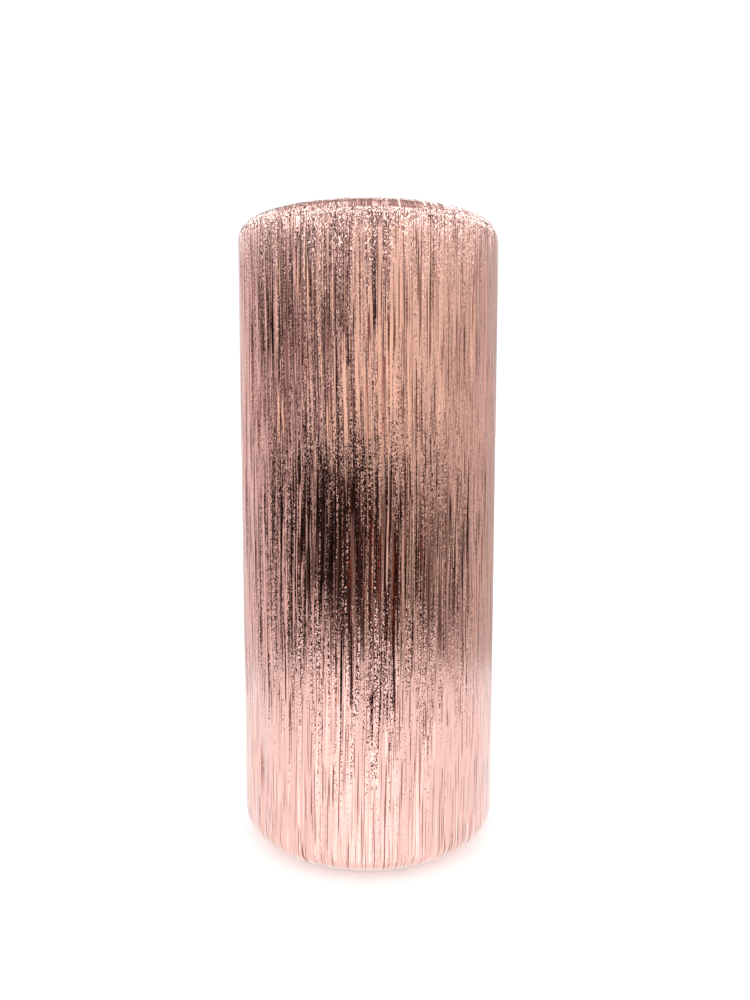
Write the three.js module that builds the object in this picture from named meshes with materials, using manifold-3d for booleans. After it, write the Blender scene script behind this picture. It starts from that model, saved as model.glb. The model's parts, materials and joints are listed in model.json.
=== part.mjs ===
// A push-to-open, twist-up lipstick case.
//
// Millimetres, +Z up. The origin is the centre of the foot, and the front faces -Y.
//
// A full-length metal sleeve covers an inner unit that stands on its own foot. Pressing the button
// in the crown sends a release tube down onto three latch fingers, and the sleeve then comes off
// upwards. In the inner unit a barrel turns in the base, and two helical grooves inside it lift the
// cup that holds the stick, while a slotted fork keeps that cup from turning.

import * as THREE from 'three';
import { mergeVertices } from 'three/addons/utils/BufferGeometryUtils.js';
import Module from 'manifold-3d';

const wasm = await Module();
wasm.setup();

// ---------------------------------------------------------------- driving dimensions

const CASE_HEIGHT = 76;
const CASE_RADIUS = 16;

const SHELL_WALL = 0.7;
const SHOULDER_RADIUS = 2.0;
const LOWER_EDGE_RADIUS = 2.8;
const RIM_LIFT = 0.35; // the sleeve's rim clears the surface that the foot stands on
const SEAT_GAP = 0.3; // between pieces that rest on each other
const FIT_GAP = 0.2; // between pieces that slide or press together

const BUTTON_RADIUS = 11;
const BUTTON_TRAVEL = 2;
const BUTTON_SINK = 0.2; // the button's face below the crown

const BASE_RADIUS = 12.6;
const BASE_TOP = 22;
const FOOT_RADIUS = 13;
const FOOT_HEIGHT = 3;
const GROOVE_LOW = 18.8;
const GROOVE_HIGH = 20.6;
const GROOVE_DEPTH = 0.4;

const BARREL_RADIUS = 9.9;
const BARREL_WALL = 0.5;
const BARREL_TOP = 48;
const BARREL_LOW = 12.2;

const LIFT = 22; // how far the stick rises
const LIFT_TURNS = 1.5; // in this many turns of the barrel
const LUG_HEIGHT = 15.6;
const LUG_SIZE = 1.4;

const STICK_RADIUS = 6;
const DOME_TOP = 47; // of the round-ended stick, before its tip is cut at a slant
const CUP_LOW = 14;
const CUP_HIGH = 25.5;

const LATCH_COUNT = 3;

const OUTER_FACETS = 48;
const INNER_FACETS = 32;
const ARC_STEPS = 5;

// ---------------------------------------------------------------- derived dimensions

const SHELL_BORE = CASE_RADIUS - SHELL_WALL;
const CROWN_UNDERSIDE = CASE_HEIGHT - SHELL_WALL;
const MOUTH_RADIUS = CASE_RADIUS - LOWER_EDGE_RADIUS;
const EDGE_CENTRE = RIM_LIFT + LOWER_EDGE_RADIUS;
const SHOULDER_CENTRE = CASE_HEIGHT - SHOULDER_RADIUS;
const SHOULDER_START = CASE_RADIUS - SHOULDER_RADIUS;

const LINER_RADIUS = SHELL_BORE - FIT_GAP;
const LINER_BORE = MOUTH_RADIUS + FIT_GAP;
const BUSH_LOW = FOOT_HEIGHT + SEAT_GAP;
const BUSH_HIGH = 7.4;
const LINER_LOW = BUSH_HIGH + FIT_GAP;
const LINER_HIGH = SHOULDER_CENTRE;

const TUBE_RADIUS = LINER_BORE - 0.3;
const TUBE_BORE = TUBE_RADIUS - 0.9;
const TUBE_LOW = BASE_TOP + BUTTON_TRAVEL + 0.5;
const RATTLE_RING_HIGH = CROWN_UNDERSIDE - FIT_GAP;
const RATTLE_RING_LOW = RATTLE_RING_HIGH - 0.6;
const FLANGE_HIGH = RATTLE_RING_LOW - SEAT_GAP;
const FLANGE_LOW = FLANGE_HIGH - 1.6;
const TUBE_HIGH = FLANGE_LOW - FIT_GAP;
const BUTTON_TOP = CASE_HEIGHT - BUTTON_SINK;
const BUTTON_THICKNESS = 0.7;
const SPIDER_HIGH = 66.6;
const SPIDER_THICKNESS = 1.2;
const LEG_WIDTH = 4;

const BASE_BORE = BASE_RADIUS - SHELL_WALL;
const BARREL_HOLE = BARREL_RADIUS + 0.3;
const CORE_RADIUS = BASE_BORE - FIT_GAP;
const CORE_BORE = BARREL_RADIUS + 0.25;
const WEIGHT_HIGH = 7.6;
const CORE_LOW = WEIGHT_HIGH + SEAT_GAP;
const CORE_FLOOR = CORE_LOW + 0.7;
const CORE_HIGH = BASE_TOP - SHELL_WALL - FIT_GAP;

const SPIRAL_RADIUS = BARREL_RADIUS - BARREL_WALL - 0.1;
const SPIRAL_BORE = 7.9;
const SPIRAL_LOW = 11.4;
const SPIRAL_HIGH = 46.8;
const SPIRAL_GROOVE_RADIUS = 8.8;
const LIFT_PER_TURN = LIFT / LIFT_TURNS;

const FORK_RADIUS = SPIRAL_BORE - FIT_GAP;
const FORK_BORE = 7;
const FORK_LOW = CORE_FLOOR + FIT_GAP;
const CUP_RADIUS = FORK_BORE - FIT_GAP;
const CUP_BORE = STICK_RADIUS + 0.15;

// ---------------------------------------------------------------- shape helpers

// Welds a geometry by position and drops the triangles that have no area, so that it is closed.
function weld(geometry) {
  const bare = geometry.clone();
  bare.deleteAttribute('normal');
  bare.deleteAttribute('uv');
  const merged = mergeVertices(bare, 1e-5);
  const index = merged.getIndex().array;
  const kept = [];
  for (let i = 0; i < index.length; i += 3) {
    const [a, b, c] = [index[i], index[i + 1], index[i + 2]];
    if (a !== b && b !== c && c !== a) kept.push(a, b, c);
  }
  merged.setIndex(kept);
  return merged;
}

// Revolves an outline of [radius, height] points about the Z axis. The points go anticlockwise with
// the radius drawn to the right, and the outline closes on itself or ends on the axis.
function revolve(outline, facets = INNER_FACETS) {
  const onAxis = outline[0][0] === 0;
  const closed = onAxis ? outline : [...outline, outline[0]];
  const points = closed.map(([radius, height]) => new THREE.Vector2(radius, height));
  return weld(new THREE.LatheGeometry(points, facets).rotateX(Math.PI / 2));
}

function ring(bore, radius, low, high, facets = INNER_FACETS) {
  return revolve([[bore, low], [radius, low], [radius, high], [bore, high]], facets);
}

function disc(radius, low, high) {
  return revolve([[0, low], [radius, low], [radius, high], [0, high]]);
}

// Points of an arc in the [radius, height] plane.
function arc(centreRadius, centreHeight, size, fromDegrees, toDegrees, steps = ARC_STEPS) {
  const points = [];
  for (let i = 0; i <= steps; i += 1) {
    const angle = THREE.MathUtils.degToRad(fromDegrees + ((toDegrees - fromDegrees) * i) / steps);
    points.push([centreRadius + size * Math.cos(angle), centreHeight + size * Math.sin(angle)]);
  }
  return points;
}

// A box that lies along a radius: from inner to outer radius, across the given width, turned to the
// given angle about Z.
function radialBox(inner, outer, width, low, high, angle) {
  const box = new THREE.BoxGeometry(outer - inner, width, high - low);
  return box.translate((inner + outer) / 2, 0, (low + high) / 2).rotateZ(angle);
}

// The same shape made at each of the three latch places, which start at the front.
function atLatches(make, offset = 0) {
  const shapes = [];
  for (let i = 0; i < LATCH_COUNT; i += 1) {
    shapes.push(make(-Math.PI / 2 + offset + (i * 2 * Math.PI) / LATCH_COUNT));
  }
  return shapes;
}

function toSolid(geometry) {
  const welded = weld(geometry);
  const vertProperties = new Float32Array(welded.getAttribute('position').array);
  const triVerts = new Uint32Array(welded.getIndex().array);
  return new wasm.Manifold(new wasm.Mesh({ numProp: 3, vertProperties, triVerts }));
}

function fromSolid(solid) {
  const mesh = solid.getMesh();
  const geometry = new THREE.BufferGeometry();
  geometry.setAttribute('position', new THREE.BufferAttribute(mesh.vertProperties, 3));
  geometry.setIndex(new THREE.BufferAttribute(mesh.triVerts, 1));
  return geometry;
}

// Adds some shapes to a geometry, then cuts others out of it.
function combine(geometry, added, removed = []) {
  let solid = toSolid(geometry);
  for (const shape of added) solid = solid.add(toSolid(shape));
  for (const shape of removed) solid = solid.subtract(toSolid(shape));
  return fromSolid(solid);
}

// ---------------------------------------------------------------- materials

function material(color, roughness, metalness) {
  return new THREE.MeshStandardMaterial({ color, roughness, metalness, flatShading: true });
}

const brushedRoseGold = material('#d9a093', 0.35, 1);
const polishedRoseGold = material('#d8a48f', 0.12, 1);
const champagneGold = material('#d9bf8c', 0.15, 1);
const bareSteel = material('#9a9ca0', 0.35, 1);
const blackPlastic = material('#1d1b1c', 0.5, 0);
const whitePlastic = material('#e9e6e1', 0.45, 0);
const softRubber = material('#3a3838', 0.8, 0);
const labelPaper = material('#f3ece6', 0.7, 0);
const lipWax = material('#b3324a', 0.4, 0);

// ---------------------------------------------------------------- the sleeve

// One drawn shell: a round shoulder, a crown with the button's hole, and a lower edge rolled inward.
function sleeveShell() {
  const outline = [
    ...arc(MOUTH_RADIUS, EDGE_CENTRE, LOWER_EDGE_RADIUS, -90, 0),
    ...arc(SHOULDER_START, SHOULDER_CENTRE, SHOULDER_RADIUS, 0, 90),
    [BUTTON_RADIUS + FIT_GAP, CASE_HEIGHT],
    [BUTTON_RADIUS + FIT_GAP, CROWN_UNDERSIDE],
    ...arc(SHOULDER_START, SHOULDER_CENTRE, SHOULDER_RADIUS - SHELL_WALL, 90, 0, 3),
    ...arc(MOUTH_RADIUS, EDGE_CENTRE, LOWER_EDGE_RADIUS - SHELL_WALL, 0, -90, 3),
  ];
  return revolve(outline, OUTER_FACETS);
}

const HOOK_REACH = 12.75; // the hooks stand spread, just clear of the base
const HOOK_LOW = GROOVE_LOW + 0.4;
const HOOK_HIGH = TUBE_LOW - BUTTON_TRAVEL - SEAT_GAP;
const HOOK_WIDTH = 5;
const FINGER_ROOT = 11;
const SLOT_WIDTH = 0.8;
const WALL_CUT = 16; // radius that every cut through the liner's wall reaches

// A latch finger's hook: flat below, with a ramp above for the release tube's cone.
function latchHook(angle) {
  const side = new THREE.Shape();
  const back = LINER_BORE + 0.4;
  side.moveTo(HOOK_REACH, HOOK_LOW);
  side.lineTo(back, HOOK_LOW);
  side.lineTo(back, HOOK_HIGH + 0.4);
  side.lineTo(LINER_BORE, HOOK_HIGH);
  side.lineTo(HOOK_REACH, HOOK_HIGH - 1.2);
  side.closePath();
  const hook = new THREE.ExtrudeGeometry(side, { depth: HOOK_WIDTH, bevelEnabled: false });
  return hook.translate(0, 0, -HOOK_WIDTH / 2).rotateX(Math.PI / 2).rotateZ(angle);
}

// The slots that free one finger from the liner's wall on both sides and above.
function fingerSlots(angle) {
  const sideAngle = (HOOK_WIDTH / 2 + SLOT_WIDTH) / LINER_BORE;
  const slotTop = HOOK_HIGH + 1.4;
  const cutRadius = LINER_BORE - 1;
  return [
    radialBox(cutRadius, WALL_CUT, SLOT_WIDTH, FINGER_ROOT, slotTop, angle - sideAngle),
    radialBox(cutRadius, WALL_CUT, SLOT_WIDTH, FINGER_ROOT, slotTop, angle + sideAngle),
    radialBox(cutRadius, WALL_CUT, HOOK_WIDTH + 2 * SLOT_WIDTH, slotTop - SLOT_WIDTH, slotTop, angle),
  ];
}

// A pocket in the liner for one leg of the spring spider.
function legPocket(angle) {
  const low = SPIDER_HIGH - SPIDER_THICKNESS - FIT_GAP;
  return radialBox(LINER_BORE - 1, LINER_BORE + 1, LEG_WIDTH + 0.6, low, SPIDER_HIGH + FIT_GAP, angle);
}

function sleeveLiner() {
  const wall = ring(LINER_BORE, LINER_RADIUS, LINER_LOW, LINER_HIGH);
  const legs = atLatches(legPocket, Math.PI / LATCH_COUNT);
  return combine(wall, atLatches(latchHook), [...atLatches(fingerSlots).flat(), ...legs]);
}

function mouthBush() {
  return ring(BASE_RADIUS + FIT_GAP, LINER_RADIUS, BUSH_LOW, BUSH_HIGH);
}

// A flat ring under the spring, held in the liner by three legs that pass through the release tube.
function springSpider() {
  const low = SPIDER_HIGH - SPIDER_THICKNESS;
  const plate = ring(8.4, TUBE_BORE - 0.6, low, SPIDER_HIGH);
  const leg = (angle) => radialBox(9.5, LINER_BORE + 0.8, LEG_WIDTH, low, SPIDER_HIGH, angle);
  return combine(plate, atLatches(leg, Math.PI / LATCH_COUNT));
}

function rattleRing() {
  return ring(BUTTON_RADIUS + 0.4, MOUTH_RADIUS, RATTLE_RING_LOW, RATTLE_RING_HIGH);
}

// ---------------------------------------------------------------- the button

function buttonCap() {
  const low = BUTTON_TOP - BUTTON_THICKNESS;
  const edge = 0.3;
  const outline = [
    [0, low],
    [BUTTON_RADIUS, low],
    ...arc(BUTTON_RADIUS - edge, BUTTON_TOP - edge, edge, 0, 90, 3),
    [0, BUTTON_TOP],
  ];
  return revolve(outline, OUTER_FACETS);
}

// The flange under the crown keeps the button in, and the boss above it fills the button's hole.
function buttonCarrier() {
  const outline = [
    [0, FLANGE_LOW],
    [LINER_BORE - 0.5, FLANGE_LOW],
    [LINER_BORE - 0.5, FLANGE_HIGH],
    [BUTTON_RADIUS - 0.1, FLANGE_HIGH],
    [BUTTON_RADIUS - 0.1, BUTTON_TOP - BUTTON_THICKNESS - 0.1],
    [0, BUTTON_TOP - BUTTON_THICKNESS - 0.1],
  ];
  return revolve(outline);
}

// The tube's lower end is a cone that wedges the latch fingers apart. Slots in its upper end let the
// spider's legs through.
function releaseTube() {
  const outline = [
    [TUBE_BORE, TUBE_LOW],
    [TUBE_BORE + 0.3, TUBE_LOW],
    [TUBE_RADIUS, TUBE_LOW + 1],
    [TUBE_RADIUS, TUBE_HIGH],
    [TUBE_BORE, TUBE_HIGH],
  ];
  const slotLow = SPIDER_HIGH - SPIDER_THICKNESS - 0.6;
  const slot = (angle) => radialBox(TUBE_BORE - 1, WALL_CUT, LEG_WIDTH + 1, slotLow, CASE_HEIGHT, angle);
  return combine(revolve(outline), [], atLatches(slot, Math.PI / LATCH_COUNT));
}

class Helix extends THREE.Curve {
  constructor(radius, low, high, turns) {
    super();
    Object.assign(this, { radius, low, high, turns });
  }

  getPoint(t) {
    const angle = t * this.turns * 2 * Math.PI;
    const height = this.low + t * (this.high - this.low);
    return new THREE.Vector3(this.radius * Math.cos(angle), this.radius * Math.sin(angle), height);
  }
}

const SPRING_RADIUS = 9.5;
const SPRING_WIRE = 0.8;
const SPRING_TURNS = 3;

function buttonSpring() {
  const clear = SPRING_WIRE / 2 + FIT_GAP;
  const path = new Helix(SPRING_RADIUS, SPIDER_HIGH + clear, FLANGE_LOW - clear, SPRING_TURNS);
  const section = new THREE.Shape().absarc(0, 0, SPRING_WIRE / 2, 0, 2 * Math.PI);
  const options = { steps: 16 * SPRING_TURNS, curveSegments: 4, extrudePath: path, bevelEnabled: false };
  return weld(new THREE.ExtrudeGeometry(section, options));
}

// ---------------------------------------------------------------- the base of the inner unit

const LABEL_RECESS = 10.8;
const LABEL_DEPTH = 0.6;

function footPlate() {
  const edge = 0.5;
  const outline = [
    [0, LABEL_DEPTH],
    [LABEL_RECESS, LABEL_DEPTH],
    [LABEL_RECESS, 0],
    ...arc(FOOT_RADIUS - edge, edge, edge, -90, 0, 3),
    [FOOT_RADIUS, FOOT_HEIGHT],
    [0, FOOT_HEIGHT],
  ];
  return revolve(outline, OUTER_FACETS);
}

function shadeLabel() {
  return disc(LABEL_RECESS - 0.4, LABEL_DEPTH - 0.35, LABEL_DEPTH - 0.05);
}

function baseWeight() {
  return disc(CORE_RADIUS, FOOT_HEIGHT + SEAT_GAP, WEIGHT_HIGH);
}

// The shell's wall, as the outline from low to high at one distance in from the outer surface. The
// rolled latch groove shows on both of its sides.
function baseWall(inset) {
  const bevel = 0.3;
  const radius = BASE_RADIUS - inset;
  return [
    [radius, FOOT_HEIGHT + SEAT_GAP],
    [radius, GROOVE_LOW],
    [radius - GROOVE_DEPTH, GROOVE_LOW + bevel],
    [radius - GROOVE_DEPTH, GROOVE_HIGH - bevel],
    [radius, GROOVE_HIGH],
  ];
}

function baseShell() {
  const edge = 0.6;
  const outline = [
    ...baseWall(0),
    ...arc(BASE_RADIUS - edge, BASE_TOP - edge, edge, 0, 90, 3),
    [BARREL_HOLE, BASE_TOP],
    [BARREL_HOLE, BASE_TOP - SHELL_WALL],
    [BASE_BORE - GROOVE_DEPTH, BASE_TOP - SHELL_WALL],
    ...baseWall(SHELL_WALL).reverse().slice(1),
  ];
  return revolve(outline);
}

// The core is narrower from the latch groove up, where the shell is rolled in over it.
function baseCore() {
  const neck = CORE_RADIUS - GROOVE_DEPTH;
  const outline = [
    [0, CORE_LOW],
    [CORE_RADIUS, CORE_LOW],
    [CORE_RADIUS, GROOVE_LOW - FIT_GAP],
    [neck, GROOVE_LOW],
    [neck, CORE_HIGH],
    [CORE_BORE, CORE_HIGH],
    [CORE_BORE, CORE_FLOOR],
    [0, CORE_FLOOR],
  ];
  return revolve(outline);
}

const FORK_FLANGE_HIGH = 10.2;
const FORK_BEAD_LOW = SPIRAL_HIGH + FIT_GAP;
const FORK_HIGH = BARREL_TOP - BARREL_WALL - 0.1;

// A tube with two upright slots. Its flange is pressed into the core, and the bead at its top keeps
// the spiral sleeve on.
function guideFork() {
  const outline = [
    [FORK_BORE, FORK_LOW],
    [CORE_BORE - FIT_GAP, FORK_LOW],
    [CORE_BORE - FIT_GAP, FORK_FLANGE_HIGH],
    [FORK_RADIUS, FORK_FLANGE_HIGH],
    [FORK_RADIUS, FORK_BEAD_LOW],
    [FORK_RADIUS + 0.6, FORK_BEAD_LOW],
    [FORK_RADIUS + 0.3, FORK_HIGH],
    [FORK_BORE, FORK_HIGH],
  ];
  const slotLow = LUG_HEIGHT - LUG_SIZE / 2 - SEAT_GAP;
  const slotHigh = LUG_HEIGHT + LIFT + LUG_SIZE / 2 + SEAT_GAP;
  const slots = radialBox(-CASE_RADIUS, CASE_RADIUS, LUG_SIZE + 2 * FIT_GAP, slotLow, slotHigh, 0);
  return combine(revolve(outline), [], [slots]);
}

function frictionRing() {
  const section = 0.45;
  const centre = (FORK_RADIUS + SPIRAL_RADIUS) / 2;
  const outline = arc(centre, (FORK_FLANGE_HIGH + SPIRAL_LOW) / 2, section, 0, 300, 5);
  return revolve(outline);
}

// ---------------------------------------------------------------- the swivel

// A bar bent into a helix, as the cutter of one groove. It falls behind the barrel's turn as it
// climbs, so that turning the barrel forward lifts the lugs.
function helicalBar(startAngle) {
  const margin = LUG_SIZE / 2 + SEAT_GAP;
  const turns = LIFT_TURNS + (2 * margin) / LIFT_PER_TURN;
  const width = LUG_SIZE + 0.7;
  const bar = new THREE.BoxGeometry(1, 1, 1, Math.round(20 * turns), 1, 1);
  const position = bar.getAttribute('position');
  for (let i = 0; i < position.count; i += 1) {
    const along = position.getX(i) + 0.5;
    const radius = position.getY(i) > 0 ? SPIRAL_GROOVE_RADIUS : FORK_BORE;
    const climb = along * turns * LIFT_PER_TURN - margin;
    const angle = startAngle - (climb / LIFT_PER_TURN) * 2 * Math.PI;
    const height = LUG_HEIGHT + climb + position.getZ(i) * width;
    position.setXYZ(i, radius * Math.cos(angle), radius * Math.sin(angle), height);
  }
  return bar;
}

function spiralSleeve() {
  const wall = ring(SPIRAL_BORE, SPIRAL_RADIUS, SPIRAL_LOW, SPIRAL_HIGH);
  return combine(wall, [], [helicalBar(0), helicalBar(Math.PI)]);
}

// The barrel's lip turns inward over the fork and the spiral sleeve.
function barrelShell() {
  const edge = 0.5;
  const bore = BARREL_RADIUS - BARREL_WALL;
  const outline = [
    [bore, BARREL_LOW],
    [BARREL_RADIUS, BARREL_LOW],
    ...arc(BARREL_RADIUS - edge, BARREL_TOP - edge, edge, 0, 90, 3),
    [FORK_BORE + 0.1, BARREL_TOP],
    [FORK_BORE + 0.1, BARREL_TOP - BARREL_WALL],
    [bore, BARREL_TOP - BARREL_WALL],
  ];
  return revolve(outline, OUTER_FACETS);
}

// ---------------------------------------------------------------- the lifting stick

// A lug that reaches through the fork's slot into the spiral groove.
function cupLug(angle) {
  const low = LUG_HEIGHT - LUG_SIZE / 2;
  return radialBox(CUP_BORE + 0.3, SPIRAL_GROOVE_RADIUS - 0.25, LUG_SIZE, low, low + LUG_SIZE, angle);
}

function bulletCup() {
  const floor = CUP_LOW + 1;
  const outline = [
    [0, CUP_LOW],
    [CUP_RADIUS, CUP_LOW],
    [CUP_RADIUS, CUP_HIGH],
    [CUP_BORE, CUP_HIGH],
    [CUP_BORE, floor],
    [0, floor],
  ];
  return combine(revolve(outline), [cupLug(0), cupLug(Math.PI)]);
}

const SLANT_DEGREES = 42;
const SLANT_LOW = 35.5; // height at which the slanted face leaves the front of the stick

// A round-ended stick with a slanted face towards the front.
function lipstickBullet() {
  const domeHeight = 8;
  const dome = arc(0, 0, 1, 0, 90, 6);
  const domeStart = DOME_TOP - domeHeight;
  const outline = [
    [0, CUP_LOW + 1.3],
    [STICK_RADIUS, CUP_LOW + 1.3],
    ...dome.slice(0, -1).map(([r, z]) => [r * STICK_RADIUS, domeStart + z * domeHeight]),
    [0, DOME_TOP],
  ];
  const size = 60;
  const cutter = new THREE.BoxGeometry(size, size, size).translate(0, 0, size / 2);
  cutter.rotateX(THREE.MathUtils.degToRad(SLANT_DEGREES)).translate(0, -STICK_RADIUS, SLANT_LOW);
  return combine(revolve(outline), [], [cutter]);
}

// ---------------------------------------------------------------- the assembly

function piece(name, geometry, look) {
  geometry.computeVertexNormals();
  const mesh = new THREE.Mesh(geometry, look);
  mesh.name = name;
  return mesh;
}

function assembly(...members) {
  const group = new THREE.Group();
  group.add(...members);
  return group;
}

const base = assembly(
  piece('foot_plate', footPlate(), polishedRoseGold),
  piece('shade_label', shadeLabel(), labelPaper),
  piece('base_weight', baseWeight(), bareSteel),
  piece('base_shell', baseShell(), polishedRoseGold),
  piece('base_core', baseCore(), blackPlastic),
  piece('guide_fork', guideFork(), whitePlastic),
  piece('friction_ring', frictionRing(), softRubber),
);

const swivel = assembly(
  piece('spiral_sleeve', spiralSleeve(), whitePlastic),
  piece('barrel', barrelShell(), champagneGold),
);

const elevator = assembly(
  piece('bullet_cup', bulletCup(), whitePlastic),
  piece('lipstick_bullet', lipstickBullet(), lipWax),
);

const button = assembly(
  piece('button_cap', buttonCap(), polishedRoseGold),
  piece('button_carrier', buttonCarrier(), blackPlastic),
  piece('release_tube', releaseTube(), whitePlastic),
);

const sleeve = assembly(
  piece('sleeve_shell', sleeveShell(), brushedRoseGold),
  piece('sleeve_liner', sleeveLiner(), blackPlastic),
  piece('mouth_bush', mouthBush(), whitePlastic),
  piece('spring_spider', springSpider(), bareSteel),
  piece('rattle_ring', rattleRing(), softRubber),
  piece('button_spring', buttonSpring(), bareSteel),
);

const group = assembly(base, swivel, elevator, button, sleeve);

export default group;
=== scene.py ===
import json
import math

import bpy
import numpy as np
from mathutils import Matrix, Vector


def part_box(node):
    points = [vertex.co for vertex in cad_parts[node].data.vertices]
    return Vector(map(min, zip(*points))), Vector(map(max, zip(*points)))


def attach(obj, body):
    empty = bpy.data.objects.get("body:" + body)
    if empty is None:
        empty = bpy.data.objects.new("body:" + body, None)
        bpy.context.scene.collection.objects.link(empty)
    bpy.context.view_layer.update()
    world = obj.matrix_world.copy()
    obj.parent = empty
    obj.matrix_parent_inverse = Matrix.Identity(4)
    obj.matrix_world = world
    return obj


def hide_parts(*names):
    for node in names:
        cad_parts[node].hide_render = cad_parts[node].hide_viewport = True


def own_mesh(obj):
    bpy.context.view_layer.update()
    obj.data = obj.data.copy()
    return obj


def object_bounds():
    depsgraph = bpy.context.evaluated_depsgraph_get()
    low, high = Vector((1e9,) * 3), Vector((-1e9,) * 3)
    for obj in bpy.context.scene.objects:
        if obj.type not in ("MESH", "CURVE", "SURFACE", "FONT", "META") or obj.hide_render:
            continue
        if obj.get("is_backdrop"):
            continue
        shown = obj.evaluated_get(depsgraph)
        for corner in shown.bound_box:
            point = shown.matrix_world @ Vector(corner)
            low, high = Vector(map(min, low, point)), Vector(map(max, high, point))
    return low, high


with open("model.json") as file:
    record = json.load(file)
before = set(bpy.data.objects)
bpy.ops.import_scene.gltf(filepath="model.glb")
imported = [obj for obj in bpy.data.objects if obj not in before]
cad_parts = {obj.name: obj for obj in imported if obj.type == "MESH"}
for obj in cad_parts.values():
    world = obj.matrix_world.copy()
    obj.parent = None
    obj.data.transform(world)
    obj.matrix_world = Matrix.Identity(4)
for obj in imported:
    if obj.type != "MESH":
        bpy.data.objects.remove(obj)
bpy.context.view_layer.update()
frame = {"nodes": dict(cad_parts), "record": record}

# Sizes are in millimetres and become metres where a mesh is made.
MM = 0.001

# ---------------------------------------------------------------- driving dimensions

CASE_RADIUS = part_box("sleeve_shell")[1].x / MM
CASE_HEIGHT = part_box("sleeve_shell")[1].z / MM
SLEEVE_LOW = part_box("sleeve_shell")[0].z / MM
SHELL_WALL = 0.7
SHOULDER_RADIUS = 2.0
LOWER_EDGE_RADIUS = 2.8
BUTTON_HOLE = 11.2

STREAK_SEGMENTS = 1024  # around the sleeve
STREAK_ROWS = 36
STREAK_DEPTH = 0.04
# Where each point of the sleeve would lie on a plain tube, with the way along its outline as height.
STREAK_PLACE = "streak_place"

FINE_SEGMENTS = 192  # around every other fine piece

# How far the sleeve's facets lean at most, as slopes: around the axis, and the grain's along it too.
WIDE_LEAN = 0.42
THIN_LEAN = 1.6
GRAIN_LEAN = 0.22
GRAIN_LEAN_ALONG = 0.06

# ---------------------------------------------------------------- outlines


def arc(centre_radius, centre_height, size, from_degrees, to_degrees, steps=10):
    """Points of an arc in the (radius, height) plane."""
    angles = np.radians(np.linspace(from_degrees, to_degrees, steps + 1))
    return [(centre_radius + size * math.cos(a), centre_height + size * math.sin(a)) for a in angles]


def softened(outline, size, steps=3):
    """A closed (radius, height) outline with each corner off the axis rounded to about the given size."""
    points = []
    count = len(outline)
    for i, corner in enumerate(outline):
        here = np.array(corner, float)
        if here[0] == 0:
            points.append(corner)
            continue
        before = np.array(outline[i - 1], float) - here
        after = np.array(outline[(i + 1) % count], float) - here
        reach = min(size, 0.4 * np.linalg.norm(before), 0.4 * np.linalg.norm(after))
        start = here + before * reach / np.linalg.norm(before)
        end = here + after * reach / np.linalg.norm(after)
        for t in np.linspace(0, 1, steps + 1):
            point = (1 - t) ** 2 * start + 2 * t * (1 - t) * here + t ** 2 * end
            points.append((float(point[0]), float(point[1])))
    return points


# ---------------------------------------------------------------- meshes


def mesh_object(name, points, faces):
    mesh = bpy.data.meshes.new(name)
    mesh.from_pydata([tuple(p) for p in points], [], faces)
    mesh.validate()
    mesh.shade_smooth()
    piece = bpy.data.objects.new(name, mesh)
    bpy.context.scene.collection.objects.link(piece)
    return piece


def grid_points(outline, segments):
    """Rings of points, one ring for each outline point."""
    angles = np.linspace(0, 2 * math.pi, segments, endpoint=False)
    radius = np.array([p[0] for p in outline])[:, None]
    height = np.array([p[1] for p in outline])[:, None] * np.ones_like(angles)
    return np.stack([radius * np.cos(angles), radius * np.sin(angles), height], axis=-1)


def ring_faces(rings, segments, closed):
    """Quads between neighbouring rings, and from the last to the first where the outline is closed."""
    faces = []
    for low in range(rings if closed else rings - 1):
        a = low * segments
        b = ((low + 1) % rings) * segments
        for i in range(segments):
            j = (i + 1) % segments
            faces.append((a + i, a + j, b + j, b + i))
    return faces


def with_ends(points, faces, low, high):
    """Closes a stack of rings with a fan of triangles to the axis at either end, at these heights."""
    segments = FINE_SEGMENTS
    first = len(points)
    last = first + 1
    top = first - segments
    for i in range(segments):
        j = (i + 1) % segments
        faces.append((first, j, i))
        faces.append((last, top + i, top + j))
    return np.vstack([points, [(0, 0, low), (0, 0, high)]])


def revolved(name, outline):
    """A closed solid of revolution. An outline that starts on the axis also ends on it."""
    on_axis = outline[0][0] == 0
    rings = outline[1:-1] if on_axis else outline
    points = grid_points(rings, FINE_SEGMENTS).reshape(-1, 3)
    faces = ring_faces(len(rings), FINE_SEGMENTS, closed=not on_axis)
    if on_axis:
        points = with_ends(points, faces, outline[0][1], outline[-1][1])
    piece = mesh_object(name, points * MM, faces)
    piece.modifiers.new("even shading", "WEIGHTED_NORMAL")
    return piece


# ---------------------------------------------------------------- the sleeve's streaks


def around_noise(rng, count, width):
    """Periodic noise of unit spread, smoothed over about this many samples."""
    distance = np.minimum(np.arange(count), count - np.arange(count))
    kernel = np.exp(-0.5 * (distance / width) ** 2)
    smooth = np.real(np.fft.ifft(np.fft.fft(rng.standard_normal(count)) * np.fft.fft(kernel)))
    return smooth / smooth.std()


def streak_layer(rng, heights, width, length):
    """Streaks about width samples wide that fade into others every length, at uneven heights."""
    count = STREAK_SEGMENTS
    offset = rng.uniform(0, 1, count)
    place = heights[:, None] / length + offset[None, :]
    low = np.floor(place).astype(int)
    blend = place - low
    blend = blend * blend * (3 - 2 * blend)
    table = np.array([around_noise(rng, count, width) for _ in range(low.max() - low.min() + 2)])
    low -= low.min()
    columns = np.arange(count)[None, :]
    return (1 - blend) * table[low, columns] + blend * table[low + 1, columns]


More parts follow.
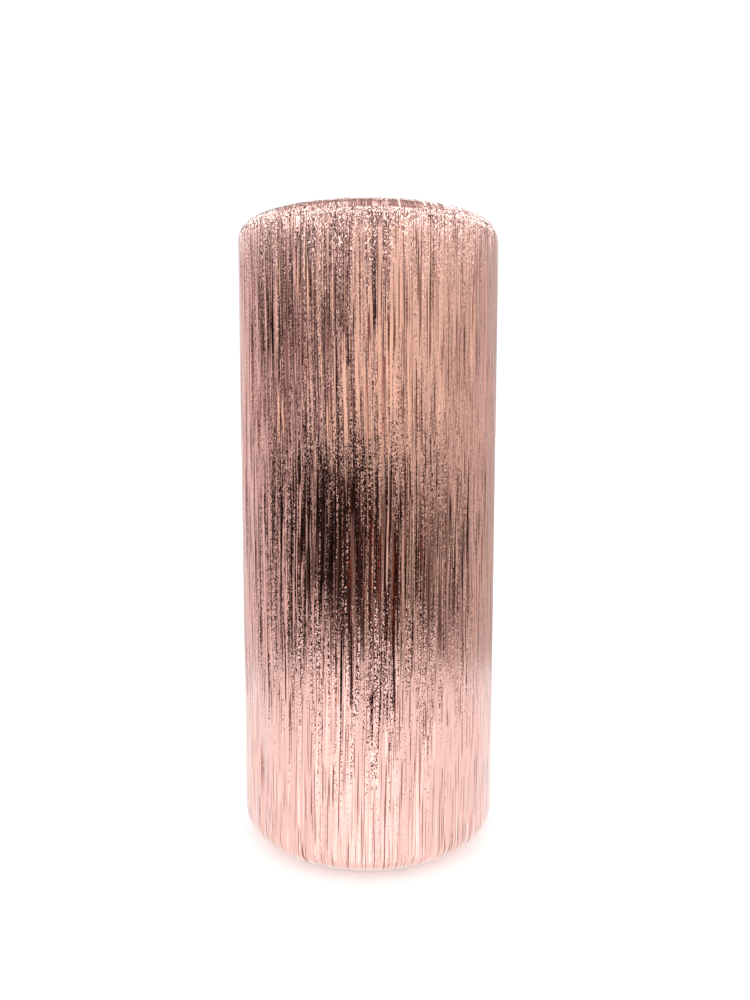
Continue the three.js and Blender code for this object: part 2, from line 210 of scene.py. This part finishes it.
def streak_relief(heights):
    """How far the surface is sunk at each height and angle, from 0 to STREAK_DEPTH."""
    rng = np.random.default_rng(7)
    relief = 0.5 * streak_layer(rng, heights, 1.3, 9.0)
    relief += 0.8 * streak_layer(rng, heights, 2.6, 17.0)
    relief += 0.6 * streak_layer(rng, heights, 6.0, 32.0)
    relief /= relief.std()
    return STREAK_DEPTH * (np.clip(relief / 3, -1, 1) + 1) / 2


def sleeve_outline():
    """The outline, and how much of the streaks' depth each of its points takes."""
    edge = SLEEVE_LOW + LOWER_EDGE_RADIUS
    mouth = CASE_RADIUS - LOWER_EDGE_RADIUS
    shoulder = CASE_HEIGHT - SHOULDER_RADIUS
    shoulder_radius = CASE_RADIUS - SHOULDER_RADIUS
    under_crown = CASE_HEIGHT - SHELL_WALL
    lower = arc(mouth, edge, LOWER_EDGE_RADIUS, -80, 0, 14)
    upper = arc(shoulder_radius, shoulder, SHOULDER_RADIUS, 0, 90, 14)
    side = [(CASE_RADIUS, z) for z in np.linspace(edge, shoulder, STREAK_ROWS)[1:-1]]
    crown = [(r, CASE_HEIGHT) for r in np.linspace(shoulder_radius, BUTTON_HOLE + 0.35, 8)[1:]]
    streaked = [(mouth, SLEEVE_LOW + 0.1)] + lower + side + upper + crown
    hole = arc(BUTTON_HOLE + 0.3, CASE_HEIGHT - 0.3, 0.3, 90, 180, 4)
    inside = [(BUTTON_HOLE, under_crown)]
    inside += arc(shoulder_radius, shoulder, SHOULDER_RADIUS - SHELL_WALL, 90, 0, 6)
    inside += arc(mouth, edge, LOWER_EDGE_RADIUS - SHELL_WALL, 0, -90, 8)
    share = [1.0] * len(streaked) + [0.0] * (len(hole) + len(inside))
    share[0] = 0.3
    for i in range(len(crown)):
        share[len(streaked) - 1 - i] = 0.25 * i / len(crown)
    return streaked + hole + inside, np.array(share)


def sleeve_skin():
    outline, share = sleeve_outline()
    flat = np.array(outline)
    along = np.gradient(flat, axis=0)
    normal = np.stack([along[:, 1], -along[:, 0]], axis=1)
    normal /= np.linalg.norm(normal, axis=1)[:, None] + 1e-12
    travelled = np.concatenate([[0], np.cumsum(np.linalg.norm(np.diff(flat, axis=0), axis=1))])
    sunk = streak_relief(travelled) * share[:, None]
    points = grid_points(outline, STREAK_SEGMENTS)
    angles = np.linspace(0, 2 * math.pi, STREAK_SEGMENTS, endpoint=False)
    points[:, :, 0] -= sunk * normal[:, :1] * np.cos(angles)
    points[:, :, 1] -= sunk * normal[:, :1] * np.sin(angles)
    points[:, :, 2] -= sunk * normal[:, 1:]
    faces = ring_faces(len(outline), STREAK_SEGMENTS, closed=True)
    skin = mesh_object("sleeve_skin", points.reshape(-1, 3) * MM, faces)
    unrolled = grid_points([(CASE_RADIUS, length) for length in travelled], STREAK_SEGMENTS)
    place = skin.data.attributes.new(STREAK_PLACE, "FLOAT_VECTOR", "POINT")
    place.data.foreach_set("vector", (unrolled * MM).astype(np.float32).ravel())
    return skin


# ---------------------------------------------------------------- material helpers


class Nodes:
    """A node tree. Each value is a socket to link, or a number, vector or colour to set."""

    def __init__(self, tree):
        self.tree = tree

    def node(self, kind, **settings):
        made = self.tree.nodes.new(kind)
        for name, value in settings.items():
            setattr(made, name, value)
        return made

    def link(self, output, target):
        self.tree.links.new(output, target)

    def feed(self, target, value):
        if isinstance(value, bpy.types.NodeSocket):
            self.link(value, target)
        elif target.type == "RGBA":
            target.default_value = (*value, 1)
        else:
            target.default_value = value

    def math(self, operation, first, second=0.0):
        made = self.node("ShaderNodeMath", operation=operation)
        self.feed(made.inputs[0], first)
        self.feed(made.inputs[1], second)
        return made.outputs[0]

    def times(self, first, second):
        return self.math("MULTIPLY", first, second)

    def blend(self, factor, first, second):
        made = self.node("ShaderNodeMix", data_type="RGBA")
        self.feed(made.inputs["Factor"], factor)
        self.feed(made.inputs["A"], first)
        self.feed(made.inputs["B"], second)
        return made.outputs["Result"]


class Look(Nodes):
    """A material of shader nodes around one Principled shader."""

    def __init__(self, name, color, roughness, metallic=0.0):
        self.material = bpy.data.materials.new(name)
        self.material.use_nodes = True
        super().__init__(self.material.node_tree)
        self.shader = self.tree.nodes["Principled BSDF"]
        self.shader.inputs["Base Color"].default_value = (*color, 1)
        self.shader.inputs["Roughness"].default_value = roughness
        self.shader.inputs["Metallic"].default_value = metallic
        self.place = self.node("ShaderNodeTexCoord").outputs["Object"]

    def wander(self, per_mm, reach):
        """Shifts the pattern sideways by up to about reach millimetres, slowly along the piece."""
        drift = self.node("ShaderNodeTexNoise")
        drift.inputs["Scale"].default_value = per_mm / MM
        drift.inputs["Detail"].default_value = 1.0
        self.link(self.place, drift.inputs["Vector"])
        sideways = self.vector("MULTIPLY", drift.outputs["Color"], (reach * MM, reach * MM, 0))
        self.place = self.vector("ADD", self.place, sideways)

    def stretched(self, across, along):
        """The place on the piece, in features per millimetre across the axis and along it."""
        made = self.node("ShaderNodeMapping")
        made.inputs["Scale"].default_value = (across / MM, across / MM, along / MM)
        self.link(self.place, made.inputs["Vector"])
        return made.outputs["Vector"]

    def noise(self, across, along, detail=2.0, roughness=0.5):
        """Cloudy noise around 0.5, in features per millimetre across the axis and along it."""
        made = self.node("ShaderNodeTexNoise")
        made.inputs["Scale"].default_value = 1.0
        made.inputs["Detail"].default_value = detail
        made.inputs["Roughness"].default_value = roughness
        self.link(self.stretched(across, along), made.inputs["Vector"])
        return made.outputs["Fac"]

    def span(self, value, low, high, to_low, to_high):
        """The value, held between low and high and stretched to run from to_low to to_high."""
        made = self.node("ShaderNodeMapRange")
        self.link(value, made.inputs["Value"])
        made.inputs["From Min"].default_value = low
        made.inputs["From Max"].default_value = high
        made.inputs["To Min"].default_value = to_low
        made.inputs["To Max"].default_value = to_high
        return made.outputs["Result"]

    def bump(self, height, depth):
        """Relief of this depth in millimetres."""
        made = self.node("ShaderNodeBump")
        made.inputs["Distance"].default_value = depth * MM
        self.link(height, made.inputs["Height"])
        self.link(made.outputs["Normal"], self.shader.inputs["Normal"])

    def cells(self, across, along):
        """Two random numbers from -1 to 1 for each cell of a pattern this fine."""
        made = self.node("ShaderNodeTexVoronoi")
        made.inputs["Scale"].default_value = 1.0
        self.link(self.stretched(across, along), made.inputs["Vector"])
        parts = self.node("ShaderNodeSeparateColor")
        self.link(made.outputs["Color"], parts.inputs[0])
        return [self.span(output, 0, 1, -1, 1) for output in parts.outputs[:2]]

    def mostly_small(self, value):
        """The fifth power of a number from -1 to 1: mostly near 0, and now and then near either end."""
        square = self.times(value, value)
        return self.times(value, self.times(square, square))

    def vector(self, operation, first, second=None):
        made = self.node("ShaderNodeVectorMath", operation=operation)
        self.feed(made.inputs[0], first)
        if second is not None:
            self.feed(made.inputs["Scale" if operation == "SCALE" else 1], second)
        return made.outputs[0]

    def tilt(self, around, lengthwise):
        """Leans the surface by these slopes around the axis and along the outline."""
        normal = self.node("ShaderNodeNewGeometry").outputs["Normal"]
        axis_place = self.node("ShaderNodeTexCoord").outputs["Object"]
        sideways = self.vector("NORMALIZE", self.vector("CROSS_PRODUCT", (0, 0, 1), axis_place))
        upright = self.vector("CROSS_PRODUCT", normal, sideways)
        leaning = self.vector("ADD", normal, self.vector("SCALE", sideways, around))
        leaning = self.vector("ADD", leaning, self.vector("SCALE", upright, lengthwise))
        self.link(self.vector("NORMALIZE", leaning), self.shader.inputs["Normal"])


def brushed_rose_gold():
    """Bright metal in upright facets, wide and thin, that each lean their own way, with a fine grain and
    sparse dark lines of painted shade along the grooves.
    """
    look = Look("brushed_rose_gold", (0.9, 0.52, 0.45), 0.1, metallic=1.0)
    look.place = look.node("ShaderNodeAttribute", attribute_name=STREAK_PLACE).outputs["Vector"]
    look.wander(0.03, 1.2)
    wide, _ = look.cells(3.6, 0.04)
    thin, shade = look.cells(7.0, 0.1)
    grain_around, grain_along = look.cells(9.0, 7.0)
    grained = look.span(look.noise(3.0, 0.06, detail=0.0), 0.46, 0.56, 0.25, 1)
    # Sparse dark lines in the base colour: painted shade, standing in for the shade that falls into the
    # brushed grooves.
    painted_groove_shade = look.noise(9.0, 0.12, detail=0.0)
    tint_with_painted_shade = look.blend(look.span(painted_groove_shade, 0.31, 0.35, 0, 1), (0.3, 0.12, 0.1), (0.93, 0.55, 0.48))
    look.link(tint_with_painted_shade, look.shader.inputs["Base Color"])
    look.link(look.span(shade, -1, 1, 0.03, 0.09), look.shader.inputs["Roughness"])
    facets = look.math("ADD", look.times(look.mostly_small(wide), WIDE_LEAN),
                       look.times(look.mostly_small(thin), THIN_LEAN))
    around = look.math("ADD", facets, look.times(look.times(grain_around, grained), GRAIN_LEAN))
    lengthwise = look.times(look.times(grain_along, grained), GRAIN_LEAN_ALONG)
    look.tilt(around, lengthwise)
    return look.material


def plain_metal(name, color, roughness):
    """Polished metal with hairlines around it and a few smudges."""
    look = Look(name, color, roughness, metallic=1.0)
    smudges = look.noise(0.25, 0.25, detail=4.0)
    hairlines = look.noise(0.4, 14.0, detail=2.0)
    rough = look.math("ADD", look.span(smudges, 0.3, 0.7, roughness * 0.7, roughness * 1.4),
                      look.times(hairlines, 0.03))
    look.link(rough, look.shader.inputs["Roughness"])
    look.bump(hairlines, 0.0015)
    return look.material


def turned_metal(name, color, roughness):
    """Metal with the fine rings that a lathe leaves on an end face."""
    look = Look(name, color, roughness, metallic=1.0)
    parts = look.node("ShaderNodeSeparateXYZ")
    look.link(look.place, parts.inputs["Vector"])
    squares = look.math("ADD", look.math("POWER", parts.outputs["X"], 2.0),
                        look.math("POWER", parts.outputs["Y"], 2.0))
    radius = look.math("SQRT", squares)
    rings = look.node("ShaderNodeTexNoise", noise_dimensions="1D")
    rings.inputs["Scale"].default_value = 5.0 / MM
    rings.inputs["Detail"].default_value = 3.0
    look.link(radius, rings.inputs["W"])
    smudges = look.noise(0.3, 0.3, detail=4.0)
    rough = look.span(smudges, 0.3, 0.7, roughness * 0.75, roughness * 1.3)
    look.link(rough, look.shader.inputs["Roughness"])
    look.bump(rings.outputs["Fac"], 0.02)
    return look.material


def moulded_plastic(name, color, roughness):
    """Satin plastic with a fine grain, and slightly darker where it flowed in the mould."""
    look = Look(name, color, roughness)
    grain = look.noise(9.0, 9.0, detail=2.0)
    flow = look.noise(0.3, 0.12, detail=3.0)
    shade = tuple(c * 0.86 for c in color)
    look.link(look.blend(look.span(flow, 0.35, 0.65, 0, 1), color, shade), look.shader.inputs["Base Color"])
    rough = look.span(grain, 0.3, 0.7, roughness * 0.85, roughness * 1.15)
    look.link(rough, look.shader.inputs["Roughness"])
    look.bump(grain, 0.006)
    return look.material


def wax():
    """Lipstick with a soft sheen, a paler bloom and pores."""
    color = (0.42, 0.025, 0.06)
    look = Look("lip_wax", color, 0.38)
    look.shader.inputs["Subsurface Weight"].default_value = 0.15
    look.shader.inputs["Subsurface Radius"].default_value = (0.002, 0.0006, 0.0005)
    look.shader.inputs["Subsurface Scale"].default_value = 1.0
    bloom = look.noise(0.5, 0.5, detail=4.0)
    pores = look.noise(7.0, 7.0, detail=2.0)
    look.link(look.blend(look.span(bloom, 0.4, 0.75, 0, 1), color, (0.5, 0.05, 0.085)),
              look.shader.inputs["Base Color"])
    look.link(look.span(bloom, 0.35, 0.7, 0.3, 0.48), look.shader.inputs["Roughness"])
    look.bump(pores, 0.008)
    return look.material


def paper():
    """Coated paper whose fibres just show."""
    look = Look("label_paper", (0.86, 0.82, 0.78), 0.6)
    fibres = look.noise(6.0, 6.0, detail=5.0, roughness=0.7)
    look.link(look.blend(look.span(fibres, 0.35, 0.65, 0, 1), (0.88, 0.84, 0.8), (0.82, 0.77, 0.73)),
              look.shader.inputs["Base Color"])
    look.bump(fibres, 0.01)
    return look.material


LOOKS = {
    "brushed_rose_gold": brushed_rose_gold(),
    "polished_rose_gold": plain_metal("polished_rose_gold", (0.8, 0.44, 0.36), 0.12),
    "turned_rose_gold": turned_metal("turned_rose_gold", (0.86, 0.5, 0.42), 0.2),
    "foot_metal": turned_metal("foot_metal", (0.78, 0.43, 0.36), 0.28),
    "barrel_gold": plain_metal("barrel_gold", (0.82, 0.56, 0.25), 0.1),
    "bare_steel": plain_metal("bare_steel", (0.6, 0.6, 0.61), 0.3),
    "black_plastic": moulded_plastic("black_plastic", (0.02, 0.019, 0.02), 0.42),
    "white_plastic": moulded_plastic("white_plastic", (0.8, 0.78, 0.75), 0.4),
    "soft_rubber": moulded_plastic("soft_rubber", (0.04, 0.04, 0.04), 0.75),
    "label_paper": paper(),
    "lip_wax": wax(),
}


def dress(piece, look):
    piece.data.materials.clear()
    piece.data.materials.append(LOOKS[look])


def fit_piece(piece, body, node, slot_name, look=None):
    """Puts a Blender piece in place of one CAD node."""
    dress(piece, look or slot_name)
    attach(piece, body)
    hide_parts(node)


# ---------------------------------------------------------------- the other fine pieces


def span_of(node):
    """A CAD node's outer radius, lowest and highest point, in millimetres."""
    low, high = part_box(node)
    return high.x / MM, low.z / MM, high.z / MM


def button_disc():
    """A disc with a shallow dish inside a narrow flat rim."""
    radius, low, high = span_of("button_cap")
    dish_radius = radius - 1.6
    dish_depth = 0.25
    dish = [(r, high - dish_depth * (1 - (r / dish_radius) ** 2)) for r in np.linspace(dish_radius, 0, 14)]
    flat = softened([(0, low), (radius, low), (radius, high), (dish_radius, high), (0, high)], 0.25)
    rim = [point for point in flat if point[0] > dish_radius - 0.1]
    return revolved("button_disc", [(0, low)] + rim + dish[1:])


def foot_disc():
    radius, low, high = span_of("foot_plate")
    recess = 10.8
    depth = 0.6
    outline = [(0, depth), (recess, depth), (recess, low), (radius, low), (radius, high), (0, high)]
    return revolved("foot_disc", softened(outline, 0.35))


def label_disc():
    radius, low, high = span_of("shade_label")
    return revolved("label_disc", softened([(0, low), (radius, low), (radius, high), (0, high)], 0.05))


def base_cup():
    radius, low, high = span_of("base_shell")
    groove_low, groove_high = 18.8, 20.6
    depth = 0.4
    bevel = 0.3
    hole = 10.2
    outer = [
        (radius, low),
        (radius, groove_low),
        (radius - depth, groove_low + bevel),
        (radius - depth, groove_high - bevel),
        (radius, groove_high),
        (radius, high),
        (hole, high),
        (hole, high - SHELL_WALL),
    ]
    groove = [(r - SHELL_WALL, z) for r, z in outer[1:4]]
    inner = [(radius - SHELL_WALL - depth, high - SHELL_WALL)] + groove[::-1] + [(radius - SHELL_WALL, low)]
    return revolved("base_cup", softened(outer + inner, 0.35, 4))


def barrel_tube():
    radius, low, high = span_of("barrel")
    wall = 0.5
    mouth = 7.1
    outline = [
        (radius - wall, low),
        (radius, low),
        (radius, high),
        (mouth, high),
        (mouth, high - wall),
        (radius - wall, high - wall),
    ]
    return revolved("barrel_tube", softened(outline, 0.45, 4))


def stick():
    """A round-ended stick with a slanted face towards the front, as one height over each point."""
    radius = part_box("lipstick_bullet")[1].x / MM
    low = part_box("lipstick_bullet")[0].z / MM
    dome_top, dome_height = 47.0, 8.0
    slope = math.tan(math.radians(42))
    slant_low = 35.5

    def top_at(x, y):
        inside = np.clip(1 - (x * x + y * y) / radius ** 2, 0, 1)
        dome = dome_top - dome_height + dome_height * np.sqrt(inside)
        slant = slant_low + (y + radius) * slope
        return np.minimum(dome, slant)

    edge = 0.3
    side_rows = 24
    top_rows = 40
    angles = np.linspace(0, 2 * math.pi, FINE_SEGMENTS, endpoint=False)
    rows = list(grid_points([(radius - edge, low), (radius, low + edge)], FINE_SEGMENTS))
    rim = top_at(radius * np.cos(angles), radius * np.sin(angles))
    for t in np.linspace(0, 1, side_rows + 1)[1:]:
        row = grid_points([(radius, 0)], FINE_SEGMENTS)[0]
        row[:, 2] = low + edge + t * (rim - low - edge)
        rows.append(row)
    for t in np.linspace(0, 1, top_rows + 1)[1:-1]:
        row = grid_points([(radius * math.cos(t * math.pi / 2), 0)], FINE_SEGMENTS)[0]
        row[:, 2] = top_at(row[:, 0], row[:, 1])
        rows.append(row)
    points = np.concatenate(rows)
    faces = ring_faces(len(rows), FINE_SEGMENTS, closed=False)
    points = with_ends(points, faces, low, float(top_at(0.0, 0.0)))
    piece = mesh_object("stick", points * MM, faces)
    piece.data.set_sharp_from_angle(angle=math.radians(32))
    return piece


def cup():
    """The cup without its lugs, which the fork and the spiral sleeve would hide."""
    _, low, high = span_of("bullet_cup")
    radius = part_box("bullet_cup")[1].y / MM
    bore = 6.15
    floor_top = low + 1
    outline = [(0, low), (radius, low), (radius, high), (bore, high), (bore, floor_top), (0, floor_top)]
    return revolved("cup", softened(outline, 0.2))


def mouth_ring():
    radius, low, high = span_of("mouth_bush")
    bore = 12.8
    outline = [(bore, low), (radius, low), (radius, high), (bore, high)]
    return revolved("mouth_ring", softened(outline, 0.4))


def coil():
    """The button's spring, as a fixed coil of round wire."""
    radius, low, high = span_of("button_spring")
    wire = 0.4  # radius
    turns = 3
    steps = 40 * turns
    sides = 12
    upward = np.array([0, 0, 1])
    points = []
    for i in range(steps + 1):
        t = i / steps
        angle = t * turns * 2 * math.pi
        outward = np.array([math.cos(angle), math.sin(angle), 0])
        centre = outward * (radius - wire) + upward * (low + wire + t * (high - low - 2 * wire))
        for k in range(sides):
            turn = 2 * math.pi * k / sides
            points.append(centre + wire * (math.cos(turn) * outward + math.sin(turn) * upward))
    faces = []
    for i in range(steps):
        for k in range(sides):
            n = (k + 1) % sides
            faces.append((i * sides + k, (i + 1) * sides + k, (i + 1) * sides + n, i * sides + n))
    faces.append(tuple(range(sides)))
    faces.append(tuple(steps * sides + k for k in reversed(range(sides))))
    return mesh_object("coil", np.array(points) * MM, faces)


def make_pieces():
    fit_piece(sleeve_skin(), "sleeve", "sleeve_shell", "brushed_rose_gold")
    fit_piece(mouth_ring(), "sleeve", "mouth_bush", "white_plastic")
    fit_piece(button_disc(), "button", "button_cap", "polished_rose_gold", "turned_rose_gold")
    fit_piece(foot_disc(), "base", "foot_plate", "foot_metal")
    fit_piece(label_disc(), "base", "shade_label", "label_paper")
    fit_piece(base_cup(), "base", "base_shell", "polished_rose_gold")
    fit_piece(barrel_tube(), "swivel", "barrel", "barrel_gold")
    fit_piece(stick(), "elevator", "lipstick_bullet", "lip_wax")
    fit_piece(cup(), "elevator", "bullet_cup", "white_plastic")
    spring = coil()
    fit_piece(spring, "sleeve", "button_spring", "bare_steel")
    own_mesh(spring)


def dress_cad_nodes():
    """Nodes whose CAD shape stays take the look of their material slot."""
    slots = {part["node"]: part["material_slot"] for part in frame["record"]["subparts"]}
    kept = ("base_weight", "base_core", "guide_fork", "friction_ring", "spiral_sleeve", "button_carrier",
            "release_tube", "sleeve_liner", "spring_spider", "rattle_ring")
    for name in kept:
        dress(frame["nodes"][name], slots[name])


# ---------------------------------------------------------------- stage, light and camera

CAMERA_DISTANCE = 103.2 * MM
CAMERA_HEIGHT = 52 * MM
CAMERA_PITCH = math.radians(5.44)
CAMERA_LENS = 29.11
CAMERA_SHIFT = 0.0067

# The room that shows in the metal. Azimuth 0 is in front of the case and grows to the right, and
# elevation 0 is level. The steps are the elevations between which one part gives way to the next.
TABLE_STEP = (-19, -15)
CEILING_STEP = (9, 20)
OVERHEAD_STEP = (40, 60)

STRIPS = (7.0, 4.0, 0.46, 0.54)  # density, tallness, and the noise that makes dark and light

# Areas on the walls: azimuth, half width, elevation, half height and soft edge in degrees, and colour.
WALL_AREAS = [
    ((14, 8, 5, 4, 6), (1.05, 0.95, 0.78)),
    ((-46, 2, 11, 4, 4), (0.12, 0.08, 0.09)),
    ((-33, 2, 11, 4, 4), (0.12, 0.08, 0.09)),
    ((-84, 16, 9, 5, 8), (0.3, 0.22, 0.22)),
    ((-90, 9, 9, 4, 3), (0.003, 0.003, 0.003)),
]


def camera():
    data = bpy.data.cameras.new("camera")
    data.lens = CAMERA_LENS
    data.sensor_width = 36
    data.shift_x = CAMERA_SHIFT
    data.clip_start = 0.001
    eye = bpy.data.objects.new("camera", data)
    eye.location = (0, -CAMERA_DISTANCE, CAMERA_HEIGHT)
    eye.rotation_euler = (math.pi / 2 - CAMERA_PITCH, 0, 0)
    bpy.context.scene.collection.objects.link(eye)
    bpy.context.scene.camera = eye


def floor():
    """A pale floor that the camera sees from above. From below it is clear, so the foot shows."""
    size = 3.0
    points = [(-size, -size, 0), (size, -size, 0), (size, size, 0), (-size, size, 0)]
    plane = mesh_object("floor", points, [(0, 1, 2, 3)])
    plane.location.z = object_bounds()[0][2] - 0.0001
    look = Look("floor", (0.93, 0.93, 0.93), 0.9)
    look.shader.inputs["Emission Color"].default_value = (1, 1, 1, 1)
    look.shader.inputs["Emission Strength"].default_value = 0.3
    plane.data.materials.append(look.material)
    facing = look.node("ShaderNodeMixShader")
    look.link(look.node("ShaderNodeNewGeometry").outputs["Backfacing"], facing.inputs[0])
    look.link(look.shader.outputs[0], facing.inputs[1])
    look.link(look.node("ShaderNodeBsdfTransparent").outputs[0], facing.inputs[2])
    look.link(facing.outputs[0], look.tree.nodes["Material Output"].inputs["Surface"])
    plane.visible_glossy = False
    plane.visible_diffuse = False
    plane.visible_shadow = False
    plane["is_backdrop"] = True


class Surroundings(Nodes):
    """The soft light around the case: a pale room with a few cards, told apart by direction."""

    def __init__(self):
        world = bpy.data.worlds.new("studio")
        bpy.context.scene.world = world
        world.use_nodes = True
        super().__init__(world.node_tree)
        self.tree.nodes.clear()
        self.direction = self.node("ShaderNodeTexCoord").outputs["Generated"]
        parts = self.node("ShaderNodeSeparateXYZ")
        self.link(self.direction, parts.inputs["Vector"])
        front = self.times(parts.outputs["Y"], -1.0)
        self.azimuth = self.math("DEGREES", self.math("ARCTAN2", parts.outputs["X"], front))
        self.elevation = self.math("DEGREES", self.math("ARCSINE", parts.outputs["Z"]))

    def ramp(self, value, low, high):
        """0 below low, 1 above high and a smooth step between. It falls where low is the larger."""
        made = self.node("ShaderNodeMapRange", interpolation_type="SMOOTHSTEP")
        self.link(value, made.inputs["Value"])
        rising = low < high
        made.inputs["From Min"].default_value = min(low, high)
        made.inputs["From Max"].default_value = max(low, high)
        made.inputs["To Min"].default_value = 0.0 if rising else 1.0
        made.inputs["To Max"].default_value = 1.0 if rising else 0.0
        return made.outputs["Result"]

    def card(self, azimuth, half_width, elevation, half_height, soft):
        """1 on a card in this direction, and 0 past its soft edge. All in degrees."""
        aside = self.math("ABSOLUTE", self.math("SUBTRACT", self.azimuth, azimuth))
        above = self.math("ABSOLUTE", self.math("SUBTRACT", self.elevation, elevation))
        across = self.ramp(aside, half_width + soft, half_width)
        upright = self.ramp(above, half_height + soft, half_height)
        return self.times(across, upright)

    def patches(self, density, tallness, low, high):
        """Soft patches, as of the things in a room: 0 to 1 by direction. Tallness stretches them."""
        place = self.node("ShaderNodeMapping")
        place.inputs["Scale"].default_value = (density, density, density / tallness)
        self.link(self.direction, place.inputs["Vector"])
        made = self.node("ShaderNodeTexNoise")
        made.inputs["Scale"].default_value = 1.0
        made.inputs["Detail"].default_value = 1.0
        self.link(place.outputs["Vector"], made.inputs["Vector"])
        return self.ramp(made.outputs["Fac"], low, high)

    def finish(self, color):
        """Gloss shows the room and its cards. Matt surfaces and the camera get plain white."""
        path = self.node("ShaderNodeLightPath")
        room = self.node("ShaderNodeBackground")
        self.link(color, room.inputs["Color"])
        white = self.node("ShaderNodeBackground")
        white.inputs["Color"].default_value = (1, 1, 1, 1)
        white.inputs["Strength"].default_value = 1.05
        chosen = self.node("ShaderNodeMixShader")
        self.link(path.outputs["Is Glossy Ray"], chosen.inputs[0])
        self.link(white.outputs[0], chosen.inputs[1])
        self.link(room.outputs[0], chosen.inputs[2])
        self.link(chosen.outputs[0], self.node("ShaderNodeOutputWorld").inputs["Surface"])


def walls_of(room):
    """Pale and dark strips, greyer towards the right and plain behind the case, with a few areas."""
    strips = room.patches(*STRIPS)
    to_right = room.ramp(room.azimuth, -60, 50)
    dark = room.blend(to_right, (0.04, 0.03, 0.03), (0.36, 0.33, 0.28))
    light = room.blend(to_right, (0.9, 0.85, 0.83), (0.82, 0.78, 0.7))
    walls = room.blend(strips, dark, light)
    walls = room.blend(room.ramp(room.azimuth, -103, -125), walls, (0.9, 0.8, 0.8))
    walls = room.blend(room.ramp(room.azimuth, 103, 125), walls, (0.62, 0.56, 0.54))
    for place, color in WALL_AREAS:
        walls = room.blend(room.card(*place), walls, color)
    return walls


def ceiling_of(room):
    """Small bright lamps on a dark ceiling, and a softer part right overhead."""
    lamps = room.blend(room.patches(9.0, 1.0, 0.5, 0.54), (0.1, 0.09, 0.09), (2.6, 2.9, 3.0))
    overhead = room.blend(room.patches(1.6, 1.0, 0.35, 0.65), (0.4, 0.38, 0.38), (1.3, 1.3, 1.3))
    return room.blend(room.ramp(room.elevation, *OVERHEAD_STEP), lamps, overhead)


def studio():
    """A bright table, walls and a ceiling, with dark areas low down in front of the case."""
    room = Surroundings()
    table = room.blend(room.card(-5, 15, -30, 30, 25), (1.06, 1.1, 1.12), (1.6, 1.65, 1.68))
    color = room.blend(room.ramp(room.elevation, *TABLE_STEP), table, walls_of(room))
    color = room.blend(room.ramp(room.elevation, *CEILING_STEP), color, ceiling_of(room))
    black = room.blend(room.patches(*STRIPS), (0.001, 0.001, 0.001), (0.04, 0.022, 0.02))
    low_areas = [
        ((68, 22, -10, 4, 5), (0.19, 0.155, 0.14)),
        ((-22, 48, -8, 4, 4), black),
        ((5, 15, -15, 5, 3), black),
        ((6, 2, -11, 3, 2), (0.3, 0.065, 0.02)),
    ]
    for place, shade in low_areas:
        color = room.blend(room.card(*place), color, shade)
    room.finish(color)


camera()
studio()
floor()
make_pieces()
dress_cad_nodes()

bpy.context.scene.view_settings.view_transform = "Standard"
